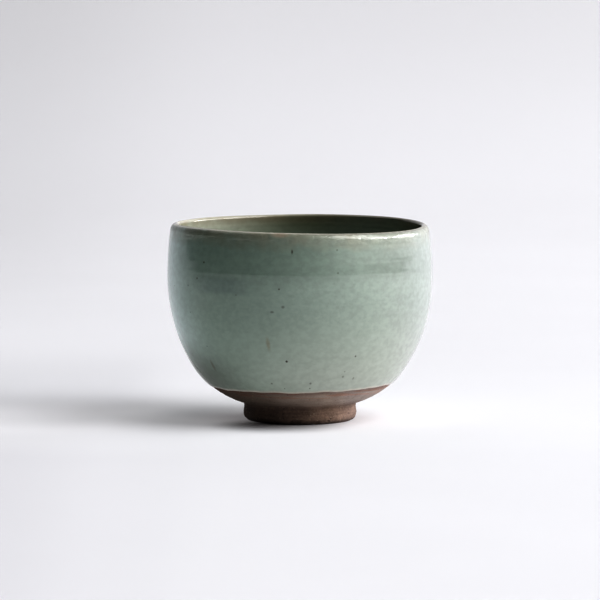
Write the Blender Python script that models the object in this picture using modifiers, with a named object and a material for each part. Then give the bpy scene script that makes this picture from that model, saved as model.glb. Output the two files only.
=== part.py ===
"""Rice bowl: wheel-thrown stoneware with a celadon glaze inside and out and a bare clay foot.

Metres, +Z up. The bowl's axis is +Z, and the origin is the centre of the circle it stands on.
It has four sub-parts, all turned on that axis: the clay body, the foot ring under it, the coat of
glaze over the outside and the outer half of the lip, and the coat that lines the inside.
"""

import math

import bpy

# Overall size
HEIGHT = 0.0877             # from the table to the crown of the lip
BELLY_RADIUS = 0.0590       # the widest circle of the outside
BELLY_HEIGHT = 0.0651
FOOT_RADIUS = 0.0251

# Outside: a flat curve from the lip to the belly, and a superellipse from the belly down
SPRING_RADIUS = 0.0577      # where the rounding of the lip starts
SPRING_HEIGHT = 0.0853
POLE_HEIGHT = 0.0057        # where the lower curve would reach the axis
OUTSIDE_POWER = 2.93        # 2 is an ellipse, and more is a squarer shoulder

# Lip and inside
CROWN_RADIUS = 0.0552       # the highest circle of the lip
LIP_INSIDE_RADIUS = 0.0539
LIP_INSIDE_HEIGHT = 0.0864
HOLLOW_RADIUS = 0.0546      # the widest circle of the inside, level with the belly
FLOOR_HEIGHT = 0.0125
HOLLOW_POWER = 2.50

# Glaze
GLAZE_THICKNESS = 0.0006
GLAZE_LINE_HEIGHT = 0.0160  # the outside coat stops here and leaves the clay bare below
GLAZE_STEP = 0.0003         # how far the coat stands proud of the bare clay

# Foot ring
NECK_RADIUS = 0.0248        # where the ring meets the body
FLARE_HEIGHT = 0.0036       # where the ring is as wide as FOOT_RADIUS
FOOT_ROUNDING = 0.0032      # the worn outer edge of the foot
RECESS_RADIUS = 0.0192
RECESS_ROUNDING = 0.0009
CEILING_RISE = 0.0004       # how much the recess is dished towards the axis

# The space between sub-parts, and how finely each curve is drawn
GAP = 0.0003
TURN_STEPS = 48
LIP_STEPS = 3
UPPER_STEPS = 3
LOWER_STEPS = 9
UNDER_STEPS = 4
HOLLOW_STEPS = 10
SEAT_STEPS = 2
ROUNDING_STEPS = 3
MERGE_DISTANCE = 0.00001
SHARP_ANGLE = math.radians(40)


def spread(first, last, steps):
    """Evenly spaced numbers from first to last, both included."""
    return [first + (last - first) * i / steps for i in range(steps + 1)]


def arc(centre, reach, first, last, steps):
    """Points (radius, height) on an elliptical arc. Angles start at the outward direction."""
    return [
        (centre[0] + reach[0] * math.cos(angle), centre[1] + reach[1] * math.sin(angle))
        for angle in spread(first, last, steps)
    ]


def inset(points, depth):
    """The same line moved to the right of its direction, which is into the bowl's wall."""
    moved = []
    for i, (radius, height) in enumerate(points):
        before = points[max(i - 1, 0)]
        after = points[min(i + 1, len(points) - 1)]
        run = after[0] - before[0]
        rise = after[1] - before[1]
        length = math.hypot(run, rise)
        moved.append((radius + depth * rise / length, height - depth * run / length))
    return moved


def upper_wall(belly_radius, lip_radius, lip_height, shares):
    """The nearly upright wall, drawn in by the square of its share of the way from belly to lip."""
    return [
        (
            belly_radius - (belly_radius - lip_radius) * share**2,
            BELLY_HEIGHT + (lip_height - BELLY_HEIGHT) * share,
        )
        for share in shares
    ]


def superellipse(radius, pole_height, power, angles):
    """The curve under the belly. Its angle is 0 at the belly and a right angle at the axis."""
    return [
        (
            radius * max(math.cos(angle), 0) ** (2 / power),
            BELLY_HEIGHT - (BELLY_HEIGHT - pole_height) * math.sin(angle),
        )
        for angle in angles
    ]


def outside_angle_at_height(height):
    return math.asin((BELLY_HEIGHT - height) / (BELLY_HEIGHT - POLE_HEIGHT))


def outside_angle_at_radius(radius):
    return math.acos((radius / BELLY_RADIUS) ** (OUTSIDE_POWER / 2))


def glazed_outside():
    """From just outside the crown of the lip down to the glaze line."""
    reach = (SPRING_RADIUS - CROWN_RADIUS, HEIGHT - SPRING_HEIGHT)
    near_crown = math.acos(GAP / 2 / reach[0])
    lip = arc((CROWN_RADIUS, SPRING_HEIGHT), reach, near_crown, 0, LIP_STEPS)
    upper = upper_wall(BELLY_RADIUS, SPRING_RADIUS, SPRING_HEIGHT, spread(1, 0, UPPER_STEPS))
    line = outside_angle_at_height(GLAZE_LINE_HEIGHT)
    lower = superellipse(BELLY_RADIUS, POLE_HEIGHT, OUTSIDE_POWER, spread(0, line, LOWER_STEPS))
    return lip + upper[1:] + lower[1:]


def glazed_inside():
    """From the middle of the floor up to just inside the crown of the lip."""
    lower = superellipse(HOLLOW_RADIUS, FLOOR_HEIGHT, HOLLOW_POWER, spread(math.pi / 2, 0, HOLLOW_STEPS))
    upper = upper_wall(HOLLOW_RADIUS, LIP_INSIDE_RADIUS, LIP_INSIDE_HEIGHT, spread(0, 1, UPPER_STEPS))
    reach = (CROWN_RADIUS - LIP_INSIDE_RADIUS, HEIGHT - LIP_INSIDE_HEIGHT)
    near_crown = math.pi - math.acos(GAP / 2 / reach[0])
    lip = arc((CROWN_RADIUS, LIP_INSIDE_HEIGHT), reach, math.pi, near_crown, LIP_STEPS)
    return lower + upper[1:] + lip[1:]


def underside(first, last, steps):
    """The bowl's lower curve between two of its angles."""
    return superellipse(BELLY_RADIUS, POLE_HEIGHT, OUTSIDE_POWER, spread(first, last, steps))


def inside_backing(depth):
    """The inside line set into the wall. It ends plumb below its own end at the crown of the lip."""
    return inset(glazed_inside(), depth)[:-1] + [(CROWN_RADIUS - GAP / 2, HEIGHT - depth)]


def outside_backing(depth):
    """The outside line set into the wall. It starts plumb below its own start at the crown."""
    return [(CROWN_RADIUS + GAP / 2, HEIGHT - depth)] + inset(glazed_outside(), depth)[1:]


def closed_on_axis(points):
    """The line with both of its ends put exactly on the axis."""
    return [(0, points[0][1])] + points[1:-1] + [(0, points[-1][1])]


def clay_profile():
    """Up the inside, over the lip, down the outside to the ledge under the glaze, and under the bowl."""
    depth = GLAZE_THICKNESS + GAP
    ledge = outside_angle_at_height(GLAZE_LINE_HEIGHT - GAP)
    bare = underside(ledge, outside_angle_at_radius(RECESS_RADIUS), UNDER_STEPS)
    under = inset(bare, GLAZE_STEP)
    ceiling = (0, under[-1][1] + CEILING_RISE)
    wall = inside_backing(depth) + outside_backing(depth)
    return closed_on_axis(wall + inset(bare, depth)[:1] + under + [ceiling])


def outside_glaze_profile():
    """Down the glazed outside, and back up against the clay."""
    return glazed_outside() + outside_backing(GLAZE_THICKNESS)[::-1]


def inside_glaze_profile():
    """Up the glazed inside, and back down against the clay."""
    return closed_on_axis(glazed_inside() + inside_backing(GLAZE_THICKNESS)[::-1])


def foot_ring_profile():
    """Down the ring's outside, round its worn edge, up the recess, and back along its seat."""
    worn_edge = arc(
        (FOOT_RADIUS - FOOT_ROUNDING, FOOT_ROUNDING),
        (FOOT_ROUNDING, FOOT_ROUNDING),
        0,
        -math.pi / 2,
        ROUNDING_STEPS,
    )
    recess_edge = arc(
        (RECESS_RADIUS + RECESS_ROUNDING, RECESS_ROUNDING),
        (RECESS_ROUNDING, RECESS_ROUNDING),
        -math.pi / 2,
        -math.pi,
        ROUNDING_STEPS,
    )
    recess = outside_angle_at_radius(RECESS_RADIUS)
    neck = outside_angle_at_radius(NECK_RADIUS)
    seat = inset(underside(neck, recess, SEAT_STEPS), GLAZE_STEP - GAP)
    return [(FOOT_RADIUS, FLARE_HEIGHT)] + worn_edge + recess_edge + seat[::-1]


def principled(name, colour, roughness):
    """A plain material with the sub-part's colour and gloss."""
    material = bpy.data.materials.new(name)
    material.use_nodes = True
    shader = material.node_tree.nodes["Principled BSDF"]
    shader.inputs["Base Color"].default_value = (*colour, 1)
    shader.inputs["Roughness"].default_value = roughness
    shader.inputs["Metallic"].default_value = 0
    return material


def turned(name, profile, is_loop, material):
    """A closed body of revolution from a profile of (radius, height) points in the XZ plane."""
    count = len(profile)
    edges = [(i, i + 1) for i in range(count - 1)]
    if is_loop:
        edges.append((count - 1, 0))
    outline = bpy.data.meshes.new(name + "_profile")
    outline.from_pydata([(radius, 0, height) for radius, height in profile], edges, [])
    body = bpy.data.objects.new(name, outline)
    bpy.context.scene.collection.objects.link(body)

    screw = body.modifiers.new("turn", "SCREW")
    screw.axis = "Z"
    screw.angle = 2 * math.pi
    screw.steps = TURN_STEPS
    screw.render_steps = TURN_STEPS
    screw.use_merge_vertices = True
    screw.merge_threshold = MERGE_DISTANCE

    evaluated = body.evaluated_get(bpy.context.evaluated_depsgraph_get())
    body.data = bpy.data.meshes.new_from_object(evaluated)
    body.data.name = name
    body.modifiers.clear()
    bpy.data.meshes.remove(outline)
    body.data.shade_smooth()
    body.data.set_sharp_from_angle(angle=SHARP_ANGLE)
    body.data.materials.append(material)
    return body


def clay_body():
    return turned("clay_body", clay_profile(), False, principled("bare_clay", (0.17, 0.12, 0.095), 0.85))


def foot_ring():
    return turned("foot_ring", foot_ring_profile(), True, principled("foot_clay", (0.16, 0.11, 0.085), 0.9))


def outside_glaze():
    colour = (0.40, 0.48, 0.43)
    return turned("outside_glaze", outside_glaze_profile(), True, principled("celadon", colour, 0.15))


def inside_glaze():
    colour = (0.37, 0.45, 0.38)
    return turned("inside_glaze", inside_glaze_profile(), False, principled("celadon_lining", colour, 0.18))


def clear_scene():
    for existing in list(bpy.data.objects):
        bpy.data.objects.remove(existing)


def main():
    clear_scene()
    collection = bpy.data.collections.new("rice_bowl")
    bpy.context.scene.collection.children.link(collection)
    bowl = bpy.data.objects.new("rice_bowl", None)
    collection.objects.link(bowl)
    for make in (clay_body, foot_ring, outside_glaze, inside_glaze):
        part = make()
        bpy.context.scene.collection.objects.unlink(part)
        collection.objects.link(part)
        part.parent = bowl


main()
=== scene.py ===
"""Rice bowl: the looks. Celadon-glazed stoneware on a bare clay foot, on a pale seamless table.

Metres, +Z up. The front is -Y, and an azimuth is the angle round the bowl from the front towards +X.
Four turned pieces stand for the four CAD nodes: the outside coat of glaze, the lining, the clay and
the foot ring. Each is a closed mesh whose surface wavers the way a hand-thrown bowl does.
"""

import math

import bpy
import numpy as np
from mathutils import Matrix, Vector, noise

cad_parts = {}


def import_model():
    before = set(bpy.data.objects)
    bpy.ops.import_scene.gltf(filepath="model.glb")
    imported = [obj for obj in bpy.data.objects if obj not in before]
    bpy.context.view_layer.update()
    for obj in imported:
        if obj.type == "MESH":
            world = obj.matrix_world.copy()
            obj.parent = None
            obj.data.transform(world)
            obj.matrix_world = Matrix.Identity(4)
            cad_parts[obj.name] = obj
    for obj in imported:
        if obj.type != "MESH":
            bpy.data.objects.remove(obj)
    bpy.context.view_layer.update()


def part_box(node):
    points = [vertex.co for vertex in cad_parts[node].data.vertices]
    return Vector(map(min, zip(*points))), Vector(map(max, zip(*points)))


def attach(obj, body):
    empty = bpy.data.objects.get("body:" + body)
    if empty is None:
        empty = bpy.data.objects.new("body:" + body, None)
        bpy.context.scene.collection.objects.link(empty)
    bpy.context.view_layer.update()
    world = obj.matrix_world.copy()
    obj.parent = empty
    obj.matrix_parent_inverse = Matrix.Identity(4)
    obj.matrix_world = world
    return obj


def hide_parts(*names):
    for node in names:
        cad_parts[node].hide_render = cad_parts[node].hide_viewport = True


SEED = 7
MM = 0.001

# Wall, as the CAD part is turned. The other radii and heights come from its boxes.
OUTSIDE_POWER = 2.93        # 2 is an ellipse, and more is a squarer shoulder
HOLLOW_POWER = 2.50
BELLY_HEIGHT = 65.1 * MM    # the widest circle
POLE_HEIGHT = 5.7 * MM      # where the outside's lower curve would reach the axis
FULLNESS = 0.55 * MM        # how much fuller the bottom of the wall is than the lower curve
FULL_FROM = 30 * MM
FULL_FADE = 12 * MM
HOLLOW_RADIUS = 54.6 * MM

# Lip
SPRING_RADIUS = 57.7 * MM   # where its rounding starts
SPRING_DROP = 3.4 * MM
CROWN_RADIUS = 55.2 * MM    # the highest circle
CROWN_FADE = 3 * MM         # rings and swells die out this close to the crown
CROWN_LAP = 0.2 * MM        # how far the outside coat runs over the crown, onto the lining
LAP_DROP = 0.03 * MM        # the end of the lap, below the crown
LINING_DIP = 0.15 * MM      # the end of the lining, below the crown and under the lap
LIP_INSIDE_RADIUS = 53.9 * MM
LIP_INSIDE_DROP = 1.3 * MM
SHOULDER_EASE = 0.08 * MM   # how much the shoulder of the lip is worn back
SHOULDER_DROP = 4.8 * MM    # where the wear ends, below the crown
SHOULDER_FADE = 2.8 * MM

# Rim: how its crown leaves a level circle
RIM_TILT = 0.38 * MM
RIM_WARP = 0.38 * MM
RIM_LOWERING = 0.15 * MM
RIM_WAVER = 0.06 * MM
RIM_WAVES = (3, 5, 8)
RIM_FADE = 24 * MM          # the waver dies out this far below the crown

# Glaze coats
GLAZE_THICKNESS = 0.6 * MM
GLAZE_STEP = 0.3 * MM       # how far the outside coat stands proud of the bare clay
GLAZE_THINNING = 1.1 * MM   # the strip above its lower edge where the coat thins out
EDGE_TUCK = 0.1 * MM        # how far the thinned edge goes under the clay's surface
BEAD_DEPTH = 0.05 * MM      # how much thicker the coat is in a bead above that strip
BEAD_END = 5.5 * MM         # the top of the bead, above the coat's edge
BEAD_FADE = 2.2 * MM
LINE_TILT = 0.7 * MM        # how much higher the coat's edge runs at the right than at the front
LINE_DIP = 0.5 * MM         # how much lower it runs at the front than at the sides
LINE_WAVER = 0.18 * MM
LINE_WAVES = (5, 9, 14, 23)

# Rings left by the fingers and the turning tool: their depth, and the lengths of their waves
OUTSIDE_RINGS = (0.008 * MM, (2.3 * MM, 3.7 * MM, 5.9 * MM, 9.1 * MM))
HOLLOW_RINGS = (0.030 * MM, (2.1 * MM, 3.3 * MM, 4.9 * MM, 7.3 * MM))
UNDERSIDE_RINGS = (0.030 * MM, (1.3 * MM, 2.1 * MM, 3.4 * MM))
FOOT_RINGS = (0.035 * MM, (1.1 * MM, 1.9 * MM, 3.1 * MM))
RING_DRIFT = 0.4 * MM       # how far a ring strays from level
RING_UNEVENNESS = 0.35      # how much its depth varies round the bowl

# Swells: their depth, the lengths of their waves along the wall, and how many waves go round
OUTSIDE_SWELLS = (0.07 * MM, (31 * MM, 47 * MM), (1, 2, 3, 5))
OUTSIDE_DENTS = (0.03 * MM, (13 * MM, 19 * MM), (4, 7, 11))
HOLLOW_SWELLS = (0.10 * MM, (26 * MM, 41 * MM), (1, 2, 3))
AXIS_FADE = 9 * MM          # rings and swells die out this close to the axis

# Spiral on the floor
SPIRAL_DEPTH = 0.16 * MM
SPIRAL_PITCH = 6.5 * MM
SPIRAL_RADIUS = 28 * MM
SPIRAL_FADE = 12 * MM

# Grit: its depth and the size of its lumps
UNDERSIDE_GRIT = (0.07 * MM, 1.6 * MM)
FOOT_GRIT = (0.10 * MM, 1.4 * MM)
GRIT_TOP = 22 * MM          # the clay is smooth above this height, where the coat covers it
GRIT_FADE = 2 * MM

# Hidden rows of the clay and the ring
CORE_INSIDE_DROP = 2 * MM   # the top of the core's inside, below the crown
CORE_OUTSIDE_DROP = 3 * MM
CORE_HALF_WIDTH = 0.3 * MM  # half the width of the core's flat top
BARE_LAP = 3 * MM           # how far the bare clay runs up under the coat
NECK_TUCK = 0.6 * MM        # how far the bare clay runs on inside the foot
RECESS_TUCK = 0.6 * MM      # how far the recess's wall runs up past its ceiling
BEHIND_RECESS = 1 * MM      # how far outside that wall both pieces turn, inside the clay
CEILING_TURN = 0.3 * MM     # how far above the recess the ceiling turns there
RING_TURN = 1 * MM          # how far above the recess the ring turns there
RING_TOP = 1.5 * MM         # the ring's hidden top, above the neck

# Foot ring
NECK_RADIUS = 24.8 * MM
NECK_HEIGHT = 7.9 * MM
NECK_FILLET = 1.3 * MM
FILLET_START = math.radians(95)
FLARE_HEIGHT = 3.6 * MM
FOOT_ROUNDING = 3.2 * MM
STAND_CLEARANCE = 0.4 * MM  # the ring is true this close to the table, so that it stands level
RECESS_RADIUS = 19.2 * MM
RECESS_ROUNDING = 0.9 * MM
RECESS_HEIGHT = 7.1 * MM
CEILING_RISE = 0.4 * MM     # how much the recess is dished towards the axis

# Chips along the worn edge of the foot
CHIP_DEPTH = 0.7 * MM
CHIP_PATTERN = (1, 3.0 * MM)
CHIP_START = 0.12           # the edge is chipped where the pattern is above this
CHIP_RANGE = 0.4
CHIP_HEIGHT = 1.2 * MM
CHIP_REACH = 2.4 * MM
CHIP_RADIUS = 22 * MM       # there are no chips inside this circle
CHIP_FADE = 1 * MM

# Columns round the bowl, and rows along each stretch of a profile
COLUMNS = 432
LIP_ROWS = 16
UPPER_ROWS = 48
LOWER_ROWS = 112
HOLLOW_ROWS = 96
EDGE_ROWS = 4
CORE_ROWS = 4
BACKING_ROWS = 12
BARE_ROWS = 44
FOOT_ROWS = 30
SHORTEST_STEP = 1e-9        # rows closer than this have no direction

# Camera: it looks down on the crown at the photograph's angle
CAMERA_DISTANCE = 2.5
CAMERA_ELEVATION = math.radians(4.45)
AIM_HEIGHT = 53.4 * MM
LENS = 338.3
SENSOR = 36
CLIP_END = 100

# Contrast of the picture: brighter by EXPOSURE stops, then darkened by a power of 1 / GAMMA
EXPOSURE = 0.82
GAMMA = 0.667

# Sheet
TABLE_FRONT = 2.2           # the table's edge in front of the bowl
TABLE_SIDE = 1.8
TABLE_BACK = 0.48           # behind this line the sheet is as wide as the wall
TABLE_STEP = 0.001          # the depth of the step between the two widths
TABLE_ROWS = 8
FLOOR_ROWS = 4
SWEEP_START = 1.15          # where the sheet starts to curve up
SWEEP_RADIUS = 0.85
SWEEP_ROWS = 24
WALL_SIDE = 3.2
WALL_TOP = 1.8
SHEET_COLUMNS = 9

# Soft lights: name, azimuth and elevation in degrees, distance, width and height in m, watts, colour,
# and whether the light fades out towards one end
DAYLIGHT = (1, 0.99, 1)
CEILING_COLOUR = (0.93, 0.97, 1)
LIGHTS = (
    ("window", 92, 21, 3.5, 4.13, 0.875, 76, DAYLIGHT, False),
    ("skylight", 66, 46, 3.5, 2.52, 2.31, 64, DAYLIGHT, False),
    ("window_end", 127, 8, 3.5, 0.91, 0.74, 8.5, DAYLIGHT, False),
    ("sill", 72, 8, 3.5, 8.6, 0.75, 24, DAYLIGHT, True),
    ("ceiling", -115, 57, 3.0, 2.6, 1.6, 7, CEILING_COLOUR, False),
)
ROOM_COLOUR = (0.010, 0.011, 0.013)

# Colours of the sheet, with painted shade towards the back, up the sweep, at the left and at the front
# left, and the glow that stands for the light that fills the shadows
SHEET_COLOURS = ((0.562, 0.568, 0.582), (0.570, 0.576, 0.590))
SHEET_BACK_SHADE = (0.480, 0.482, 0.492)
SHEET_HIGH_SHADE = (0.440, 0.442, 0.452)
SHEET_SIDE_SHADE_TINTS = ((0.92, 0.92, 0.92), (1.05, 1.05, 1.05))  # tints of the backdrop at the left and right
SHEET_CORNER_SHADE = (0.84, 0.84, 0.85)
SHEET_GLOW = (0.166, 0.162, 0.164)
SHADOW_CORNER = (-8, -27, 0)    # in mm, the darkest place, before the foot and left of it
SHADOW_ROOT = (-32, 26, 0)      # in mm, where the bowl's shadow leaves the foot

# Colours of the glaze. A tint is a colour that multiplies another.
UNTINTED = (1, 1, 1)
CELADON = ((0.318, 0.378, 0.340), (0.372, 0.436, 0.394))
THIN_COAT_AND_DARK_REFLECTION = (0.215, 0.262, 0.232)
THICK_COAT = (0.510, 0.555, 0.502)
# Painted reflection of the bright sheet along the left edge
EDGE_REFLECTION_COLOUR = (0.80, 0.86, 0.90)
# The next two tints are a painted reflection: dark bands where the wall mirrors the dark room
DARK_REFLECTION_BAND_TINT = (0.80, 0.82, 0.84)
DARK_REFLECTION_END_TINT = (0.945, 0.945, 0.94)
# Painted light and shade: greener on the shaded left, greyer on the lit right
LIT_AND_SHADED_SIDE_TINTS = ((0.925, 1.035, 0.965), (1.0, 0.965, 0.955))
LIT_FAR_SIDE_TINT = (0.93, 0.88, 0.90)
# Painted shade low on the left of the outside coat
LOWER_LEFT_SHADE_TINT = (0.42, 0.405, 0.385)
GRAIN_TINTS = ((0.945, 0.94, 0.935), (1.045, 1.045, 1.04))
LIP_BROWNS = ((0.240, 0.215, 0.150), (0.420, 0.390, 0.310))
CROWN_TONES = ((0.56, 0.55, 0.46), (0.37, 0.36, 0.30))
CREAM_EDGE = (0.61, 0.57, 0.50)
LINING_TINT = (0.75, 0.78, 0.72)
LINING_OLIVES_LIT_AND_SHADED = ((0.135, 0.140, 0.080), (0.430, 0.430, 0.360))
LINING_BROWN = (0.26, 0.205, 0.135)
IRON = (0.060, 0.052, 0.038)
CRACK = (0.16, 0.17, 0.13)
GLAZE_IOR = 1.62

# Colours of the clay
UNDERSIDE_COLOURS = ((0.302, 0.230, 0.188), (0.422, 0.335, 0.286))
FOOT_COLOURS = ((0.144, 0.090, 0.064), (0.288, 0.197, 0.150))
FOOT_EDGE_TINT = (0.50, 0.50, 0.52)
# Painted shade on the left of the clay and painted light on the right
CLAY_SHADE_AND_LIGHT_TINTS = ((0.30, 0.27, 0.21), (1.11, 1.18, 1.19))
CLAY_LIT_RIGHT_TINT = (1.04, 1.08, 1.18)
TURNING_TINT = (0.98, 0.76, 0.68)
BLUSH = (0.150, 0.080, 0.055)
GROG = (0.42, 0.35, 0.28)
HOLE = (0.050, 0.035, 0.028)

# Specks in the glaze: azimuth in degrees, height, width and length in mm, and strength
SPECKS = (
    (-3.4, 79.7, 0.9, 2.0, 0.8),
    (-45.7, 73.8, 1.0, 1.0, 0.8),
    (-49.9, 66.5, 0.9, 0.9, 0.8),
    (-56.5, 62.9, 0.8, 0.8, 0.5),
    (-8.9, 63.4, 0.8, 0.8, 0.8),
    (-7.3, 55.6, 1.5, 1.3, 0.5),
    (-12.1, 53.3, 1.7, 1.0, 0.5),
    (-6.5, 31.1, 1.1, 1.1, 1.0),
    (5.8, 20.8, 1.1, 1.1, 0.5),
    (-15.9, 20.6, 1.0, 1.0, 0.5),
    (27.6, 32.9, 0.9, 0.9, 0.7),
    (23.4, 23.6, 1.1, 1.1, 0.4),
    (16.3, 70.3, 0.9, 0.9, 0.45),
    (16.1, 80.3, 0.8, 0.8, 0.45),
    (5.7, 18.4, 0.8, 0.8, 0.6),
    (30.0, 22.6, 0.9, 1.4, 0.35),
    (23.6, 26.0, 0.9, 0.9, 0.3),
)
# Streaks: azimuth in degrees, height, width and length in mm, lean in degrees, strength, and colour
STREAKS = (
    (-14.7, 38.9, 2.0, 6.5, -5, 0.55, (0.305, 0.275, 0.185)),
    (-50.8, 27.2, 1.9, 5.2, -6, 0.55, (0.140, 0.115, 0.080)),
    (-9.0, 87.0, 8.0, 2.6, 2, 0.70, (0.420, 0.350, 0.270)),
)
MARK_DEPTH = 0.15           # how much a mark minds depth, so that it follows the curve of the wall
MARK_CORE = 0.10            # a mark is full inside this share of its width, and gone outside the next
MARK_REACH = 0.72


def azimuths():
    """One angle for each column."""
    return np.arange(COLUMNS) * (2 * math.pi / COLUMNS)


def smooth(value):
    """0 below 0, 1 above 1, and an even S between."""
    value = np.clip(value, 0, 1)
    return value * value * (3 - 2 * value)


def ripple(places, lengths, seed):
    """Sine waves of the given lengths with random phases, added and brought to about -1 to 1."""
    random = np.random.default_rng(seed)
    total = 0
    for length in lengths:
        total = total + np.sin(2 * math.pi * (places / length + random.random()))
    return total / math.sqrt(len(lengths))


def round_ripple(angles, counts, seed):
    """Waves that close on themselves round the bowl: each count is the number of waves in a turn."""
    random = np.random.default_rng(seed)
    total = 0
    for count in counts:
        total = total + np.sin(count * angles + 2 * math.pi * random.random())
    return total / math.sqrt(len(counts))


def crown_height():
    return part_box("outside_glaze")[1].z


def belly_radius():
    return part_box("outside_glaze")[1].x


def floor_height():
    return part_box("inside_glaze")[0].z + GLAZE_THICKNESS


def foot_radius():
    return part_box("foot_ring")[1].x


def line_height(angles):
    """The outside coat's lower edge at each azimuth."""
    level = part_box("outside_glaze")[0].z
    dip = LINE_DIP * (1 - np.cos(angles))
    waver = LINE_WAVER * round_ripple(angles, LINE_WAVES, SEED)
    return level + LINE_TILT * np.sin(angles) + dip + waver


def rim_lift(angles):
    """How much higher the crown stands than a level one at each azimuth."""
    lean = -RIM_TILT * np.sin(angles) - RIM_WARP * np.sin(2 * angles)
    return lean - RIM_LOWERING + RIM_WAVER * round_ripple(angles, RIM_WAVES, SEED + 1)


def upper_wall(belly, lip_radius, lip_height, shares):
    """The nearly upright wall above the belly."""
    radius = belly - (belly - lip_radius) * shares**2
    height = BELLY_HEIGHT + (lip_height - BELLY_HEIGHT) * shares
    return radius, height


def superellipse(radius, pole_height, power, angles):
    """The curve under the belly. Its angle is 0 at the belly and a right angle at the axis."""
    across = radius * np.clip(np.cos(angles), 0, 1) ** (2 / power)
    height = BELLY_HEIGHT - (BELLY_HEIGHT - pole_height) * np.sin(angles)
    return across, height


def fullness(height):
    """How far the wall bulges out at each height."""
    return FULLNESS * smooth((FULL_FROM - height) / FULL_FADE)


def outside_angle_at_height(height):
    return np.arcsin((BELLY_HEIGHT - height) / (BELLY_HEIGHT - POLE_HEIGHT))


def outside_angle_at_radius(radius):
    return math.acos((radius / belly_radius()) ** (OUTSIDE_POWER / 2))


def grid(*stretches):
    """Stacks stretches of a profile: a row for each step, and a column for each azimuth."""
    radii = [np.broadcast_to(radius, (len(radius), COLUMNS)) for radius, _ in stretches]
    heights = [np.broadcast_to(height, (len(height), COLUMNS)) for _, height in stretches]
    return np.vstack(radii), np.vstack(heights)


def column(values):
    """A list of row values as a column that spreads over every azimuth."""
    return np.asarray(values, float)[:, None]


def spread(first, last, rows):
    """Evenly spaced row values from first to last, both included."""
    return column(np.linspace(first, last, rows))


def normals(radius, height):
    """Directions square to the rows' line, to its left as the rows run."""
    run = np.gradient(radius, axis=0)
    rise = np.gradient(height, axis=0)
    length = np.hypot(run, rise)
    length[length < SHORTEST_STEP] = 1
    return -rise / length, run / length


def pushed(radius, height, depth):
    """The surface moved outwards by a depth, square to itself."""
    across, up = normals(radius, height)
    return radius + depth * across, height + depth * up


def along(radius, height):
    """Distance down the rows from the first one."""
    steps = np.hypot(np.diff(radius, axis=0), np.diff(height, axis=0))
    return np.vstack([np.zeros((1, COLUMNS)), np.cumsum(steps, axis=0)])


def lifted_rim(height, angles):
    """Heights with the rim's waver added, in full at the crown and fading below it."""
    near_rim = smooth(1 - (crown_height() - height) / RIM_FADE)
    return height + rim_lift(angles)[None, :] * near_rim


def rings(places, angles, waves, seed):
    """Low rings, a little uneven round the bowl."""
    size, lengths = waves
    drift = places + RING_DRIFT * round_ripple(angles, (1, 2, 3), seed)[None, :]
    swell = 1 + RING_UNEVENNESS * round_ripple(angles, (1, 2, 4), seed + 1)[None, :]
    return size * swell * ripple(drift, lengths, seed + 2)


def swells(places, angles, waves, seed):
    """Broad rises and hollows, along the wall and round it."""
    size, lengths, counts = waves
    return size * ripple(places, lengths, seed) * round_ripple(angles, counts, seed + 1)


def surface_points(radius, height, angles):
    """The grid as a list of points in space."""
    return np.stack([radius * np.sin(angles), -radius * np.cos(angles), height], axis=-1).reshape(-1, 3)


def grit(radius, height, angles, pattern, seed):
    """Uneven grain from noise sampled in space, so that it has no seam."""
    size, scale = pattern
    points = surface_points(radius, height, angles) / scale + seed
    values = [noise.noise(Vector(point)) for point in points]
    return size * np.array(values).reshape(radius.shape)


def turned_mesh(name, radius, height, reaches_axis):
    """A closed mesh from a grid. One that reaches the axis is capped at both ends."""
    angles = azimuths()
    count = len(radius)
    here = np.arange(COLUMNS)
    after = (here + 1) % COLUMNS
    faces = []
    for row in range(count - 1 if reaches_axis else count):
        top = row * COLUMNS
        below = ((row + 1) % count) * COLUMNS
        faces += np.stack([top + here, below + here, below + after, top + after], 1).tolist()

    points = surface_points(radius, height, angles).tolist()
    if reaches_axis:
        points += [(0, 0, float(end.mean())) for end in (height[0], height[-1])]
        tip = count * COLUMNS
        base = tip - COLUMNS
        faces += [(tip, j, int(after[j])) for j in range(COLUMNS)]
        faces += [(tip + 1, base + int(after[j]), base + j) for j in range(COLUMNS)]

    mesh = bpy.data.meshes.new(name)
    mesh.from_pydata(points, [], faces)
    mesh.validate()
    mesh.shade_smooth()
    return mesh


def add_attribute(mesh, name, values):
    """Stores one number for each vertex, in millimetres. Vertices on the axis take the last value."""
    flat = np.asarray(values, float).reshape(-1) / MM
    spare = len(mesh.vertices) - len(flat)
    flat = np.concatenate([flat, np.full(spare, flat[-1])])
    attribute = mesh.attributes.new(name, "FLOAT", "POINT")
    attribute.data.foreach_set("value", flat.astype(np.float32))


def placed(name, mesh, material, node):
    """Makes the mesh a piece that stands for a CAD node."""
    piece = bpy.data.objects.new(name, mesh)
    bpy.context.scene.collection.objects.link(piece)
    mesh.materials.append(material)
    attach(piece, "root")
    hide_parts(node)


def outside_profile(angles):
    """From the lap over the crown down to the coat's lower edge."""
    top = crown_height()
    spring = top - SPRING_DROP
    turns = spread(math.pi / 2, 0, LIP_ROWS)
    reach = SPRING_RADIUS - CROWN_RADIUS
    lip = (CROWN_RADIUS + reach * np.cos(turns), spring + SPRING_DROP * np.sin(turns))
    lap = (column([CROWN_RADIUS - CROWN_LAP]), column([top - LAP_DROP]))
    upper = upper_wall(belly_radius(), SPRING_RADIUS, spring, spread(1, 0, UPPER_ROWS)[1:])
    line = outside_angle_at_height(line_height(angles))
    shares = spread(0, 1, LOWER_ROWS)[1:]
    lower = superellipse(belly_radius(), POLE_HEIGHT, OUTSIDE_POWER, shares * line[None, :])
    return grid(lap, lip, upper, lower)


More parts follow.
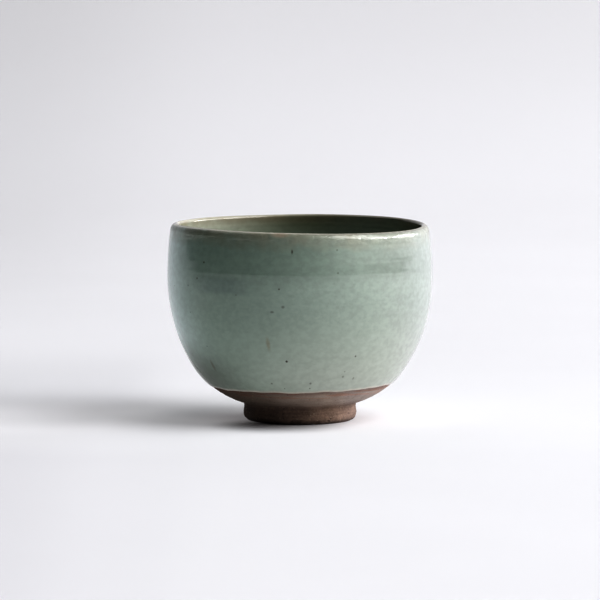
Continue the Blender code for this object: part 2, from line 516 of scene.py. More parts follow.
def outside_coat(material):
    """The celadon over the outside and the lip, down to its thin uneven edge above the bare clay."""
    angles = azimuths()
    radius, height = outside_profile(angles)
    from_crown = along(radius, height) - CROWN_LAP
    to_line = from_crown[-1:] - from_crown

    waves = rings(height, angles, OUTSIDE_RINGS, SEED + 2)
    broad = swells(height, angles, OUTSIDE_SWELLS, SEED + 3)
    broad += swells(height, angles, OUTSIDE_DENTS, SEED + 10)
    shoulder = SHOULDER_EASE * smooth((height - crown_height() + SHOULDER_DROP) / SHOULDER_FADE)
    depth = smooth(from_crown / CROWN_FADE) * (waves + broad) + fullness(height) - shoulder
    full_coat = smooth(to_line / GLAZE_THINNING)
    bead = full_coat * smooth((BEAD_END - to_line) / BEAD_FADE)
    depth += BEAD_DEPTH * bead - (GLAZE_STEP + EDGE_TUCK) * (1 - full_coat)
    radius, height = pushed(radius, height, depth)

    # Back up against the clay, on every so many rows
    shares = np.linspace(1, 0, BACKING_ROWS)
    picks = np.round(shares * (len(radius) - 3)).astype(int) + 1
    inner = pushed(radius, height, -GLAZE_THICKNESS)
    back = (inner[0][picks], inner[1][picks])
    back[0][0] = radius[-1] - EDGE_TUCK
    back[1][0] = height[-1] + EDGE_TUCK
    radius = np.vstack([radius, back[0]])
    height = lifted_rim(np.vstack([height, back[1]]), angles)

    mesh = turned_mesh("celadon_outside", radius, height, False)
    add_attribute(mesh, "from_crown", np.vstack([from_crown, from_crown[picks]]))
    add_attribute(mesh, "to_line", np.vstack([to_line, to_line[picks]]))
    placed("celadon_outside", mesh, material, "outside_glaze")


def hollow_profile():
    """From the middle of the floor up to the crown, and just under the outside coat's lap."""
    top = crown_height()
    turns = spread(math.pi / 2, 0, HOLLOW_ROWS)[1:]
    lower = superellipse(HOLLOW_RADIUS, floor_height(), HOLLOW_POWER, turns)
    lip_height = top - LIP_INSIDE_DROP
    upper = upper_wall(HOLLOW_RADIUS, LIP_INSIDE_RADIUS, lip_height, spread(0, 1, UPPER_ROWS)[1:])
    turns = spread(math.pi, math.pi / 2, LIP_ROWS)[1:]
    reach = CROWN_RADIUS - LIP_INSIDE_RADIUS
    lip = (CROWN_RADIUS + reach * np.cos(turns), lip_height + LIP_INSIDE_DROP * np.sin(turns))
    dip = (column([CROWN_RADIUS + CROWN_LAP]), column([top - LINING_DIP]))
    return grid(lower, upper, lip, dip)


def lining(material):
    """The celadon inside, over the finger grooves, from the middle of the floor to the crown."""
    angles = azimuths()
    radius, height = hollow_profile()
    path = along(radius, height)
    from_crown = path - path[-1:] + CROWN_LAP

    grooves = rings(path, angles, HOLLOW_RINGS, SEED + 5)
    broad = swells(path, angles, HOLLOW_SWELLS, SEED + 6)
    on_floor = smooth((SPIRAL_RADIUS - radius) / SPIRAL_FADE)
    spiral = SPIRAL_DEPTH * np.sin(2 * math.pi * radius / SPIRAL_PITCH - angles[None, :]) * on_floor
    away = smooth(-from_crown / CROWN_FADE) * smooth(radius / AXIS_FADE)
    radius, height = pushed(radius, height, away * (grooves + broad + spiral))

    # Back down against the clay, on every so many rows
    picks = np.round(np.linspace(len(radius) - 2, 2, BACKING_ROWS)).astype(int)
    inner = pushed(radius, height, -GLAZE_THICKNESS)
    radius = np.vstack([radius, inner[0][picks]])
    height = lifted_rim(np.vstack([height, inner[1][picks]]), angles)

    mesh = turned_mesh("celadon_inside", radius, height, True)
    add_attribute(mesh, "from_crown", np.vstack([from_crown, from_crown[picks]]))
    placed("celadon_inside", mesh, material, "inside_glaze")


def clay_hollow():
    """The core's inside, behind the lining, from the middle of the floor to under the lip."""
    deep = GLAZE_THICKNESS + GLAZE_STEP
    turns = spread(math.pi / 2, 0, BACKING_ROWS)[1:]
    lower = superellipse(HOLLOW_RADIUS + deep, floor_height() - deep, HOLLOW_POWER, turns)
    lip_height = crown_height() - CORE_INSIDE_DROP
    shares = spread(0, 1, CORE_ROWS)[1:]
    return [lower, upper_wall(HOLLOW_RADIUS + deep, LIP_INSIDE_RADIUS + deep, lip_height, shares)]


def clay_outside(angles):
    """The core's top and outside, behind the coat, then the bare underside, and the recess's ceiling."""
    deep = GLAZE_THICKNESS + GLAZE_STEP
    top = crown_height()
    edges = column([CROWN_RADIUS - CORE_HALF_WIDTH, CROWN_RADIUS + CORE_HALF_WIDTH])
    over = (edges, column([top - deep] * 2))
    shares = spread(1, 0, CORE_ROWS)
    upper = upper_wall(belly_radius() - deep, SPRING_RADIUS - deep, top - CORE_OUTSIDE_DROP, shares)

    bare_start = outside_angle_at_height(line_height(angles) + BARE_LAP)[None, :]
    turns = spread(0, 1, BACKING_ROWS)[1:] * bare_start
    hidden = superellipse(belly_radius() - deep, POLE_HEIGHT + deep, OUTSIDE_POWER, turns)
    neck = outside_angle_at_radius(NECK_RADIUS - NECK_TUCK)
    shares = spread(0, 1, BARE_ROWS)
    turns = bare_start * (1 - shares) + neck * shares
    bare = superellipse(belly_radius() - GLAZE_STEP, POLE_HEIGHT + GLAZE_STEP, OUTSIDE_POWER, turns)

    behind_ring = (column([RECESS_RADIUS + BEHIND_RECESS]), column([RECESS_HEIGHT + CEILING_TURN]))
    shares = spread(1, 0, BACKING_ROWS)[:-1]
    ceiling = (RECESS_RADIUS * shares, RECESS_HEIGHT + CEILING_RISE * (1 - shares**2))
    return [over, upper, hidden, bare, behind_ring, ceiling]


def clay(material):
    """The wall's core, and the bare turned underside between the glaze line and the foot."""
    angles = azimuths()
    hollow = clay_hollow()
    radius, height = grid(*hollow, *clay_outside(angles))

    # Only the underside is rough, and only outside the recess is it full. The hollow's rows stay
    # behind the lining.
    hollow_rows = sum(len(stretch[0]) for stretch in hollow)
    is_outer = column(np.arange(len(radius)) >= hollow_rows)
    under = is_outer * smooth((GRIT_TOP - height) / GRIT_FADE) * smooth(radius / GRIT_FADE)
    turning = rings(radius, angles, UNDERSIDE_RINGS, SEED + 8)
    rough = grit(radius, height, angles, UNDERSIDE_GRIT, SEED)
    full = fullness(height) * smooth((radius - RECESS_RADIUS) / GRIT_FADE)
    radius, height = pushed(radius, height, under * (turning + rough + full))
    below_line = line_height(angles)[None, :] - height
    height = lifted_rim(height, angles)

    mesh = turned_mesh("stoneware_body", radius, height, True)
    add_attribute(mesh, "below_line", below_line)
    placed("stoneware_body", mesh, material, "clay_body")


def neck_fillet():
    """The hollow rounding from the bowl's underside into the ring."""
    _, seat_height = superellipse(
        belly_radius() - GLAZE_STEP,
        POLE_HEIGHT + GLAZE_STEP,
        OUTSIDE_POWER,
        outside_angle_at_radius(NECK_RADIUS + NECK_FILLET),
    )
    rise = float(seat_height) - FULLNESS - NECK_HEIGHT + NECK_FILLET
    turns = spread(FILLET_START, math.pi, EDGE_ROWS * 3)
    return (
        NECK_RADIUS + NECK_FILLET + NECK_FILLET * np.cos(turns),
        NECK_HEIGHT - NECK_FILLET + rise * np.sin(turns),
    )


def foot_outside():
    """Down the ring from under its fillet, and round its worn edge."""
    wide = foot_radius()
    top = NECK_HEIGHT - NECK_FILLET
    shares = spread(0, 1, FOOT_ROWS)[1:]
    wall = (NECK_RADIUS + (wide - NECK_RADIUS) * smooth(shares), top - (top - FLARE_HEIGHT) * shares)
    turns = spread(0, -math.pi / 2, FOOT_ROWS)[1:]
    edge_radius = wide - FOOT_ROUNDING + FOOT_ROUNDING * np.cos(turns)
    edge_height = FOOT_ROUNDING + FOOT_ROUNDING * np.sin(turns)
    return [wall, (edge_radius, edge_height)]


def foot_inside():
    """Across the flat that it stands on, up the recess, and back inside the bowl's clay."""
    flat_start = foot_radius() - FOOT_ROUNDING
    flat_end = RECESS_RADIUS + RECESS_ROUNDING
    shares = spread(0, 1, EDGE_ROWS + 1)[1:]
    stand = (flat_start + (flat_end - flat_start) * shares, 0 * shares)
    turns = spread(-math.pi / 2, -math.pi, EDGE_ROWS * 2)[1:]
    edge = (flat_end + RECESS_ROUNDING * np.cos(turns), RECESS_ROUNDING * (1 + np.sin(turns)))
    shares = spread(0, 1, FOOT_ROWS // 2)[1:]
    wall_rise = RECESS_HEIGHT + RECESS_TUCK - RECESS_ROUNDING
    recess = (RECESS_RADIUS + 0 * shares, RECESS_ROUNDING + wall_rise * shares)
    back_radii = column([RECESS_RADIUS + BEHIND_RECESS, NECK_RADIUS])
    back_heights = column([RECESS_HEIGHT + RING_TURN, NECK_HEIGHT + RING_TOP])
    return [stand, edge, recess, (back_radii, back_heights)]


def chipping(radius, height, angles):
    """Small chips along the worn edge, as depths below 0."""
    edge = smooth(1 - np.abs(height - CHIP_HEIGHT) / CHIP_REACH)
    edge = edge * smooth((radius - CHIP_RADIUS) / CHIP_FADE)
    pattern = grit(radius, height, angles, CHIP_PATTERN, SEED + 2)
    return -CHIP_DEPTH * smooth((pattern - CHIP_START) / CHIP_RANGE) * edge


def foot(material):
    """The ring it stands on: a filleted neck, a slight flare, a worn and chipped edge, and the recess."""
    angles = azimuths()
    radius, height = grid(neck_fillet(), *foot_outside(), *foot_inside())
    turning = rings(height, angles, FOOT_RINGS, SEED + 9)
    rough = grit(radius, height, angles, FOOT_GRIT, SEED + 1)
    standing = smooth(height / STAND_CLEARANCE)
    depth = standing * (turning + rough + chipping(radius, height, angles))
    radius, height = pushed(radius, height, depth)
    height = np.clip(height, 0, None)

    mesh = turned_mesh("turned_foot", radius, height, False)
    add_attribute(mesh, "below_line", line_height(angles)[None, :] - height)
    placed("turned_foot", mesh, material, "foot_ring")


class Shading:
    """A material's nodes, with a short call for each kind used here. Places are in millimetres."""

    def __init__(self, name):
        self.material = bpy.data.materials.new(name)
        self.material.use_nodes = True
        self.tree = self.material.node_tree
        self.shader = self.tree.nodes["Principled BSDF"]
        place = self.node("ShaderNodeTexCoord").outputs["Object"]
        self.place = self.vector("MULTIPLY", place, (1 / MM, 1 / MM, 1 / MM))
        parts = self.node("ShaderNodeSeparateXYZ")
        self.feed(parts.inputs["Vector"], self.place)
        self.across = parts.outputs["X"]
        self.depth = parts.outputs["Y"]
        self.height = parts.outputs["Z"]

    def node(self, kind, **settings):
        made = self.tree.nodes.new(kind)
        for key, value in settings.items():
            setattr(made, key, value)
        return made

    def feed(self, socket, value):
        """Links an output to a socket, or sets a constant on it."""
        if isinstance(value, bpy.types.NodeSocket):
            self.tree.links.new(value, socket)
        else:
            socket.default_value = value

    def vector(self, operation, first, second):
        made = self.node("ShaderNodeVectorMath", operation=operation)
        self.feed(made.inputs[0], first)
        self.feed(made.inputs[1], second)
        return made.outputs["Vector"]

    def turned(self, value, axis, angle):
        """The vector turned about an axis."""
        made = self.node("ShaderNodeVectorRotate", rotation_type="AXIS_ANGLE")
        self.feed(made.inputs["Vector"], value)
        made.inputs["Axis"].default_value = axis
        made.inputs["Angle"].default_value = angle
        return made.outputs["Vector"]

    def length(self, value):
        made = self.node("ShaderNodeVectorMath", operation="LENGTH")
        self.feed(made.inputs[0], value)
        return made.outputs["Value"]

    def level_distance(self, point):
        """Distance from a point, seen from above."""
        away = self.vector("SUBTRACT", self.place, point)
        return self.length(self.vector("MULTIPLY", away, (1, 1, 0)))

    def number(self, operation, first, second=0.0, clamp=False):
        made = self.node("ShaderNodeMath", operation=operation, use_clamp=clamp)
        self.feed(made.inputs[0], first)
        self.feed(made.inputs[1], second)
        return made.outputs["Value"]

    def product(self, first, *others):
        for other in others:
            first = self.number("MULTIPLY", first, other)
        return first

    def weighted(self, *parts):
        """The sum of values, each times its weight."""
        total = None
        for value, weight in parts:
            part = self.number("MULTIPLY", value, weight)
            total = part if total is None else self.number("ADD", total, part)
        return total

    def span(self, value, low, high, to_low=0.0, to_high=1.0):
        """An even S from one value to another as the input goes from low to high."""
        made = self.node("ShaderNodeMapRange", interpolation_type="SMOOTHSTEP")
        for socket, given in zip(made.inputs, (value, low, high, to_low, to_high)):
            self.feed(socket, given)
        return made.outputs["Result"]

    def fall(self, value, low, high):
        """An even S from 1 to 0 as the input goes from low to high."""
        return self.span(value, low, high, 1.0, 0.0)

    def near(self, value, centre, inner, outer):
        """1 within the inner distance of the centre, and 0 beyond the outer."""
        away = self.number("ABSOLUTE", self.number("SUBTRACT", value, centre))
        return self.fall(away, inner, outer)

    def shifted(self, size, stretch, shift):
        """The place, measured in lumps of that many millimetres, and moved."""
        scaled = self.vector("MULTIPLY", self.place, tuple(1 / (size * s) for s in stretch))
        return self.vector("ADD", scaled, shift)

    def cloud(self, size, detail=2.0, stretch=(1, 1, 1), seed=0.0):
        """Soft noise whose lumps are about that many millimetres across."""
        made = self.node("ShaderNodeTexNoise")
        self.feed(made.inputs["Vector"], self.shifted(size, stretch, (seed, seed * 1.7, seed * 2.3)))
        made.inputs["Scale"].default_value = 1
        made.inputs["Detail"].default_value = detail
        return made.outputs["Fac"]

    def cells(self, size, feature="F1", seed=0.0, stretch=(1, 1, 1)):
        made = self.node("ShaderNodeTexVoronoi", feature=feature)
        self.feed(made.inputs["Vector"], self.shifted(size, stretch, (seed, seed * 1.3, seed * 2.1)))
        made.inputs["Scale"].default_value = 1
        return made

    def dots(self, size, seed, inner, outer, portion):
        """Round dots in that portion of the cells, picked by each cell's random colour."""
        cells = self.cells(size, seed=seed)
        split = self.node("ShaderNodeSeparateColor")
        self.feed(split.inputs[0], cells.outputs["Color"])
        chosen = self.number("LESS_THAN", split.outputs[0], portion)
        return self.product(self.fall(cells.outputs["Distance"], inner, outer), chosen)

    def attribute(self, name):
        return self.node("ShaderNodeAttribute", attribute_name=name).outputs["Fac"]

    def mix(self, share, first, second, blend="MIX"):
        """From the first colour to the second as the share goes from 0 to 1."""
        made = self.node("ShaderNodeMix", data_type="RGBA", blend_type=blend)
        self.feed(made.inputs["Factor"], share)
        for socket, colour in zip([i for i in made.inputs if i.type == "RGBA"], (first, second)):
            self.feed(socket, (*colour, 1) if isinstance(colour, tuple) else colour)
        return [o for o in made.outputs if o.type == "RGBA"][0]

    def multiply(self, first, second):
        return self.mix(1.0, first, second, "MULTIPLY")

    def tinted(self, colour, share, first, second):
        """The colour times a tint that goes from the first to the second with the share."""
        return self.multiply(colour, self.mix(share, first, second))

    def bump(self, height, distance, before=None):
        """Bends the normal as if the surface rose by height times distance, in metres."""
        made = self.node("ShaderNodeBump")
        made.inputs["Strength"].default_value = 1
        made.inputs["Distance"].default_value = distance
        self.feed(made.inputs["Height"], height)
        if before:
            self.feed(made.inputs["Normal"], before)
        return made.outputs["Normal"]

    def finished(self, colour, roughness, normal):
        """The material, with its colour, roughness and normal on the shader."""
        self.feed(self.shader.inputs["Base Color"], colour)
        self.feed(self.shader.inputs["Roughness"], roughness)
        self.feed(self.shader.inputs["Normal"], normal)
        return self.material


def surface_point(azimuth, height):
    """The point of the outside wall at an azimuth in degrees and a height in mm, in mm."""
    height = height * MM
    spring = crown_height() - SPRING_DROP
    if height > BELLY_HEIGHT:
        share = (height - BELLY_HEIGHT) / (spring - BELLY_HEIGHT)
        radius, _ = upper_wall(belly_radius(), SPRING_RADIUS, spring, share)
    else:
        turn = outside_angle_at_height(height)
        radius, _ = superellipse(belly_radius(), POLE_HEIGHT, OUTSIDE_POWER, turn)
    angle = math.radians(azimuth)
    return Vector((radius * math.sin(angle), -radius * math.cos(angle), height)) / MM


def mark(s, azimuth, height, width, length, lean, strength):
    """The strength inside a small mark and 0 outside it. It may be longer than it is wide, and lean."""
    away = s.vector("SUBTRACT", s.place, tuple(surface_point(azimuth, height)))
    facing = s.turned(away, (0, 0, 1), -math.radians(azimuth))
    leaning = s.turned(facing, (0, -1, 0), math.radians(lean))
    squeezed = s.vector("MULTIPLY", leaning, (1, MARK_DEPTH, width / length))
    return s.span(s.length(squeezed), width * MARK_CORE, width * MARK_REACH, strength, 0.0)


def celadon_ground(s, clouds, mottle):
    """Cloudy grey-green with a fine mottle and faint level bands."""
    bands = s.cloud(2.4, 2.0, (12, 12, 1), 9.0)
    tone = s.weighted((clouds, 0.6), (mottle, 0.35), (bands, 0.25))
    return s.mix(s.span(tone, 0.35, 0.85), *CELADON)


def coat_tones(s, colour, clouds):
    """The coat is darker above the belly, partly as a thinner coat and partly as a painted reflection of
    the dark room, and thicker and paler towards its lower edge.
    """
    waver = s.number("MULTIPLY", s.number("SUBTRACT", clouds, 0.5), 14.0)
    uneven = s.number("ADD", s.height, waver)
    # Partly painted reflection: the upper wall is darkened where it mirrors the dark room
    above = s.product(s.span(uneven, 62.0, 72.0, 0.0, 0.40), s.span(s.across, -5.0, 25.0, 1.0, 0.45))
    colour = s.mix(above, colour, THIN_COAT_AND_DARK_REFLECTION)
    # Painted reflection of the dark room: a second, shorter dark band at the left, and the end of the
    # upper one at the right
    left = s.product(s.fall(s.across, -32.0, -16.0), s.span(s.across, -50.0, -40.0))
    band = s.product(s.near(s.height, 64.0, 2.0, 5.0), left)
    colour = s.tinted(colour, band, UNTINTED, DARK_REFLECTION_BAND_TINT)
    right = s.product(s.fall(s.across, 50.3, 51.3), s.span(s.across, 20.0, 42.0))
    end = s.product(s.near(s.height, 74.5, 6.4, 7.8), right)
    colour = s.tinted(colour, end, UNTINTED, DARK_REFLECTION_END_TINT)
    low = s.product(
        s.span(uneven, 18.0, 64.0, 0.85, 0.0),
        s.span(s.across, -52.0, 0.0, 0.2, 1.0),
        s.span(s.across, 0.0, 40.0, 1.0, 0.68),
    )
    return s.mix(low, colour, THICK_COAT)


def painted_edge_reflection(s, colour):
    """Painted reflection: at a slant on the left the glaze turns paler, standing for the bright sheet
    that the left edge mirrors.
    """
    weight = s.node("ShaderNodeLayerWeight")
    weight.inputs["Blend"].default_value = 0.5
    share = s.product(
        s.span(weight.outputs["Facing"], 0.28, 0.93, 0.0, 1.1),
        s.span(s.across, -40.0, 20.0, 1.0, 0.1),
        s.span(s.height, 22.0, 44.0),
    )
    return s.mix(share, colour, EDGE_REFLECTION_COLOUR)


def painted_side_light(s, colour):
    """Painted light and shade: the glaze is tinted greener on the shaded left and greyer on the lit
    right, and darkened low on the left with painted shade.
    """
    # Low down, the greyer, lit side starts further to the left
    side = s.span(s.number("ADD", s.across, s.span(s.height, 18.0, 45.0, 15.0, 0.0)), -50.0, 55.0)
    tint = s.mix(side, *LIT_AND_SHADED_SIDE_TINTS)
    tint = s.mix(s.span(s.across, 28.0, 54.0), tint, LIT_FAR_SIDE_TINT)
    colour = s.multiply(colour, tint)
    # Painted shade: the lower left of the wall is darkened, where little light reaches
    lower_left_shade = s.product(s.fall(s.height, 18.0, 41.0), s.fall(s.across, -48.0, -12.0))
    return s.tinted(colour, lower_left_shade, UNTINTED, LOWER_LEFT_SHADE_TINT)


def lip_patches(s):
    return s.cloud(9.0, 2.0, (1, 1, 0.6), 12.0)


def brown_lip(s, colour, from_crown):
    """Thin glaze on the lip lets the brown clay through, in patches and short runs."""
    patches = lip_patches(s)
    runs = s.cloud(2.0, 2.0, (1, 1, 5), 15.0)
    reach = s.number("ADD", 4.5, s.number("MULTIPLY", patches, 7.0))
    reach = s.number("ADD", reach, s.number("MULTIPLY", runs, 3.0))
    near_lip = s.number("SUBTRACT", 1.0, s.number("DIVIDE", from_crown, reach), True)
    thin = s.product(near_lip, s.span(patches, 0.34, 0.60, 0.60, 0.85))
    thin = s.product(thin, s.span(s.across, 15.0, 42.0, 1.0, 0.5))
    brown = s.mix(s.span(s.across, -25.0, 25.0), *LIP_BROWNS)
    return s.mix(thin, colour, brown)


def olive_lip(s, colour, from_crown):
    """Inside, the glaze is olive under the lip and browner close to it; the olive is paler at the left
    and darker at the right, painted light and shade where light over the right rim falls on the left
    wall.
    """
    inwards = s.number("MULTIPLY", from_crown, -1.0)
    # Painted light and shade: paler on the lit left wall, darker on the shaded right
    olive = s.mix(s.fall(s.across, -45.0, 5.0), *LINING_OLIVES_LIT_AND_SHADED)
    colour = s.mix(s.number("MULTIPLY", s.fall(inwards, 3.0, 16.0), 0.85), colour, olive)
    brown = s.product(s.fall(inwards, 1.5, 6.0), s.span(lip_patches(s), 0.3, 0.6, 0.2, 0.5))
    return s.mix(brown, colour, LINING_BROWN)


def pale_crown_line(s, colour, from_crown):
    """A pale line along the crown, greyer at the right."""
    crown = s.near(from_crown, 0.0, 0.7, 1.9)
    tone = s.mix(s.span(s.across, -10.0, 20.0), *CROWN_TONES)
    return s.mix(s.number("MULTIPLY", crown, 0.8), colour, tone)


def iron_specks(s):
    """Small specks at random."""
    return s.number("MULTIPLY", s.dots(7.0, 4.0, 0.025, 0.06, 0.2), 0.55)


def crazed(s, colour):
    """Fine crazing."""
    craze = s.cells(9.0, "DISTANCE_TO_EDGE", 2.0, (1, 1, 2.2)).outputs["Distance"]
    return s.mix(s.number("MULTIPLY", s.fall(craze, 0.0, 0.014), 0.05), colour, CRACK)


def cream_edge(s, colour, mottle):
    """A cream edge where the coat thins out above the bare clay."""
    to_edge = s.number("ADD", s.attribute("to_line"), s.number("MULTIPLY", mottle, 0.8))
    return s.mix(s.number("MULTIPLY", s.fall(to_edge, 1.4, 3.2), 0.9), colour, CREAM_EDGE)


def grained(s, colour):
    """A faint grain all over."""
    return s.tinted(colour, s.span(s.cloud(3.0, 4.0, (1, 1, 0.8), 40.0), 0.3, 0.7), *GRAIN_TINTS)


def glaze_gloss(s):
    """The glaze's roughness, and its normal over faint dimples."""
    s.shader.inputs["IOR"].default_value = GLAZE_IOR
    roughness = s.span(s.cloud(6, 3.0, seed=20.0), 0.3, 0.7, 0.05, 0.13)
    return roughness, s.bump(s.cloud(1.8, 2.0, seed=30.0), 0.006 * MM)


def pitted(s, specks, normal):
    """Each speck is a shallow pit."""
    return s.bump(s.number("SUBTRACT", 1.0, specks), 0.05 * MM, normal)


def outer_celadon():
    """Grey-green glaze: cloudy, a little mottled, tan where it is thin on the lip, with iron specks."""
    s = Shading("celadon_outer")
    clouds = s.cloud(26, 2.0, (1, 1, 0.8), 1.0)
    mottle = s.cloud(1.7, 2.0, (1, 1, 0.8), 5.0)
    from_crown = s.attribute("from_crown")
    colour = coat_tones(s, celadon_ground(s, clouds, mottle), clouds)
    colour = painted_side_light(s, painted_edge_reflection(s, colour))
    colour = pale_crown_line(s, brown_lip(s, colour, from_crown), from_crown)

    specks = iron_specks(s)
    for azimuth, height, width, length, strength in SPECKS:
        specks = s.number("MAXIMUM", specks, mark(s, azimuth, height, width, length, 0, strength))
    for azimuth, height, width, length, lean, strength, stain in STREAKS:
        colour = s.mix(mark(s, azimuth, height, width, length, lean, strength), colour, stain)
    colour = crazed(s, s.mix(specks, colour, IRON))
    colour = grained(s, cream_edge(s, colour, mottle))

    # The shoulder of the lip is rougher, over small lumps
    roughness, normal = glaze_gloss(s)
    shoulder = s.product(s.span(from_crown, 0.6, 1.6), s.fall(from_crown, 3.5, 7.0))
    roughness = s.number("ADD", roughness, s.number("MULTIPLY", shoulder, 0.09))
    normal = s.bump(s.product(s.cloud(2.6, 3.0, (1, 1, 0.7), 33.0), shoulder), 0.40 * MM, normal)
    return s.finished(colour, roughness, pitted(s, specks, normal))


def inner_celadon():
    """The same glaze inside: darker, and olive under the lip, with painted light and shade there."""
    s = Shading("celadon_inner")
    clouds = s.cloud(26, 2.0, (1, 1, 0.8), 1.0)
    mottle = s.cloud(1.7, 2.0, (1, 1, 0.8), 5.0)
    from_crown = s.attribute("from_crown")
    colour = s.multiply(celadon_ground(s, clouds, mottle), LINING_TINT)
    colour = pale_crown_line(s, olive_lip(s, colour, from_crown), from_crown)
    specks = iron_specks(s)
    colour = grained(s, crazed(s, s.mix(specks, colour, IRON)))
    roughness, normal = glaze_gloss(s)
    return s.finished(colour, roughness, pitted(s, specks, normal))


def bare_clay():
    """Reddish brown stoneware, turned and gritty, with an iron blush under the glaze line."""
    s = Shading("bare_stoneware")
    grain = s.cloud(0.8, 4.0, seed=2.0)
    lumps = s.cloud(7, 3.0, (1, 1, 0.6), 6.0)
    bands = s.cloud(0.9, 2.0, (14, 14, 1), 8.0)
    share = s.span(s.weighted((lumps, 0.7), (grain, 0.40), (bands, 0.34)), 0.48, 0.98)
    underside = s.mix(share, *UNDERSIDE_COLOURS)
    colour = s.mix(s.span(s.height, 6.5, 11.5), s.mix(share, *FOOT_COLOURS), underside)
    # The edge that it stands on is darker. The clay is darkened on the left with painted shade and
    # lightened on the right with painted light
    colour = s.tinted(colour, s.span(s.height, 0.5, 2.6), FOOT_EDGE_TINT, UNTINTED)
    colour = s.tinted(colour, s.span(s.across, -38.0, 14.0), *CLAY_SHADE_AND_LIGHT_TINTS)
    colour = s.tinted(colour, s.span(s.across, 12.0, 26.0), UNTINTED, CLAY_LIT_RIGHT_TINT)

    # Reddish turning lines, and the blush under the glaze line
    below = s.attribute("below_line")
    lines = s.product(s.span(bands, 0.46, 0.58), s.fall(below, 1.0, 5.5))
    colour = s.tinted(colour, lines, UNTINTED, TURNING_TINT)
    blush = s.product(s.fall(below, 0.3, 2.2), s.span(lumps, 0.3, 0.6, 0.4, 1.0), 0.55)
    colour = s.mix(blush, colour, BLUSH)

    # Pale grog, and small holes that are fainter above the foot
    grog = s.dots(1.5, 3.0, 0.10, 0.30, 0.3)
    colour = s.mix(s.number("MULTIPLY", grog, 0.5), colour, GROG)
    holes = s.dots(1.9, 7.0, 0.08, 0.28, 0.3)
    colour = s.mix(s.product(holes, s.span(s.height, 7.0, 10.0, 0.7, 0.3)), colour, HOLE)

    normal = s.bump(bands, 0.05 * MM, s.bump(grain, 0.12 * MM))
    normal = s.bump(s.number("SUBTRACT", 1.0, holes), 0.20 * MM, normal)
    return s.finished(colour, s.span(lumps, 0.3, 0.7, 0.72, 0.92), normal)


def sheet_colour(s):
    """Matt white, with painted shade and light: greyer towards the back and up the sweep, darker at the
    left and the front left, and a little lighter at the right of the backdrop.
    """
    colour = s.mix(s.span(s.cloud(160, 2.0), 0.3, 0.7), *SHEET_COLOURS)
    colour = s.mix(s.span(s.depth, -100.0, 1400.0, 0.0, 0.35), colour, SHEET_BACK_SHADE)
    colour = s.mix(s.span(s.height, 0.0, 150.0, 0.0, 0.8), colour, SHEET_HIGH_SHADE)
    wall = s.tinted(colour, s.span(s.across, -220.0, -40.0), *SHEET_SIDE_SHADE_TINTS)
    colour = s.mix(s.span(s.depth, 200.0, 900.0), colour, wall)
    # Painted shade at the front left, along the edge of the bowl's shadow
    corner = s.product(s.fall(s.depth, -160.0, -60.0), s.fall(s.across, -130.0, -30.0))
    return s.tinted(colour, corner, UNTINTED, SHEET_CORNER_SHADE)


def sheet_glow(s):
    """The strength of the glow: none where the shadow is deepest, and more in the long shadow."""
    in_shadow = s.fall(s.across, -90.0, -48.0)
    behind = s.product(
        s.span(s.depth, 10.0, 90.0, 0.42, -0.25),
        s.fall(s.depth, 150.0, 350.0),
        s.span(s.depth, -75.0, -35.0, 0.3, 1.0),
    )
    glow = s.span(s.level_distance(SHADOW_CORNER), 10.0, 36.0)
    glow = s.number("ADD", glow, s.product(in_shadow, behind))
    return s.number("ADD", glow, s.span(s.level_distance(SHADOW_ROOT), 10.0, 38.0, -0.3, 0.0))


def pale_sheet():
    s = Shading("pale_sheet")
    s.feed(s.shader.inputs["Base Color"], sheet_colour(s))
    s.shader.inputs["Roughness"].default_value = 0.9
    s.shader.inputs["Specular IOR Level"].default_value = 0.2
    s.shader.inputs["Emission Color"].default_value = (*SHEET_GLOW, 1)
    s.feed(s.shader.inputs["Emission Strength"], sheet_glow(s))
    return s.material


def stage():
    """One sheet: a table under and before the bowl, and behind it a wider floor swept up into a wall."""
    rows = [(y, 0, TABLE_SIDE) for y in np.linspace(-TABLE_FRONT, TABLE_BACK, TABLE_ROWS)]
    floor = np.linspace(TABLE_BACK + TABLE_STEP, SWEEP_START, FLOOR_ROWS)[:-1]
    rows += [(y, 0, WALL_SIDE) for y in floor]
    for turn in np.linspace(0, math.pi / 2, SWEEP_ROWS):
        back = SWEEP_START + SWEEP_RADIUS * math.sin(turn)
        rows.append((back, SWEEP_RADIUS * (1 - math.cos(turn)), WALL_SIDE))
    rows.append((SWEEP_START + SWEEP_RADIUS, WALL_TOP, WALL_SIDE))
    shares = np.linspace(-1, 1, SHEET_COLUMNS)
    points = [(side * share, y, z) for y, z, side in rows for share in shares]
    faces = []
    for row in range(len(rows) - 1):
        for j in range(SHEET_COLUMNS - 1):
            near = row * SHEET_COLUMNS + j
            far = near + SHEET_COLUMNS
            faces.append((near, near + 1, far + 1, far))
    mesh = bpy.data.meshes.new("sheet")
    mesh.from_pydata(points, [], faces)
    mesh.shade_smooth()
    sheet = bpy.data.objects.new("sheet", mesh)
    bpy.context.scene.collection.objects.link(sheet)
    mesh.materials.append(pale_sheet())


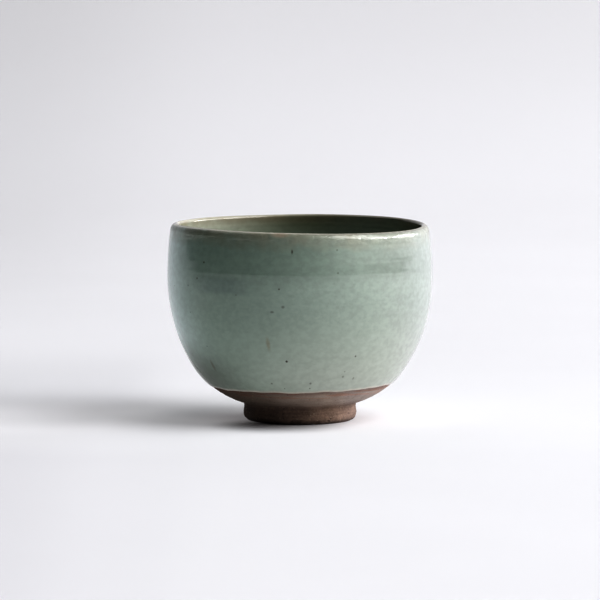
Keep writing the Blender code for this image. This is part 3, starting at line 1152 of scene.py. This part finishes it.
def fade_along(light):
    """Makes a light brighten evenly from nothing at one end of its width to full at the other."""
    light.use_nodes = True
    tree = light.node_tree
    across = tree.nodes.new("ShaderNodeNewGeometry").outputs["Parametric"]
    parts = tree.nodes.new("ShaderNodeSeparateXYZ")
    fade = tree.nodes.new("ShaderNodeMapRange")
    tree.links.new(across, parts.inputs["Vector"])
    tree.links.new(parts.outputs["X"], fade.inputs["Value"])
    tree.links.new(fade.outputs["Result"], tree.nodes["Emission"].inputs["Strength"])


def soft_light(name, azimuth, elevation, distance, width, height, power, colour, fades):
    """A rectangular light that faces the bowl from an azimuth and an elevation."""
    light = bpy.data.lights.new(name, "AREA")
    light.shape = "RECTANGLE"
    light.size = width
    light.size_y = height
    light.energy = power
    light.color = colour
    if fades:
        fade_along(light)
    lamp = bpy.data.objects.new(name, light)
    bpy.context.scene.collection.objects.link(lamp)
    azimuth = math.radians(azimuth)
    elevation = math.radians(elevation)
    level = math.cos(elevation)
    direction = Vector((level * math.sin(azimuth), -level * math.cos(azimuth), math.sin(elevation)))
    lamp.location = direction * distance
    lamp.rotation_euler = direction.to_track_quat("Z", "Y").to_euler()


def lights():
    """Daylight from windows at the right, and a little light off the ceiling behind the left."""
    for light in LIGHTS:
        soft_light(*light)


def dark_room():
    """A little cool light from everywhere else."""
    world = bpy.data.worlds.new("room")
    world.use_nodes = True
    background = world.node_tree.nodes["Background"]
    background.inputs["Color"].default_value = (*ROOM_COLOUR, 1)
    background.inputs["Strength"].default_value = 1
    bpy.context.scene.world = world


def camera():
    lens = bpy.data.cameras.new("camera")
    lens.lens = LENS
    lens.sensor_width = SENSOR
    lens.clip_end = CLIP_END
    made = bpy.data.objects.new("camera", lens)
    bpy.context.scene.collection.objects.link(made)
    height = crown_height() + CAMERA_DISTANCE * math.tan(CAMERA_ELEVATION)
    made.location = (0, -CAMERA_DISTANCE, height)
    aim = Vector((0, 0, AIM_HEIGHT)) - made.location
    made.rotation_euler = aim.to_track_quat("-Z", "Y").to_euler()
    bpy.context.scene.camera = made


def grade():
    """A plain display with the photograph's stronger contrast."""
    view = bpy.context.scene.view_settings
    view.view_transform = "Standard"
    view.exposure = EXPOSURE
    view.gamma = GAMMA


def main():
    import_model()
    outside_coat(outer_celadon())
    lining(inner_celadon())
    body = bare_clay()
    clay(body)
    foot(body)
    stage()
    lights()
    dark_room()
    camera()
    grade()


main()
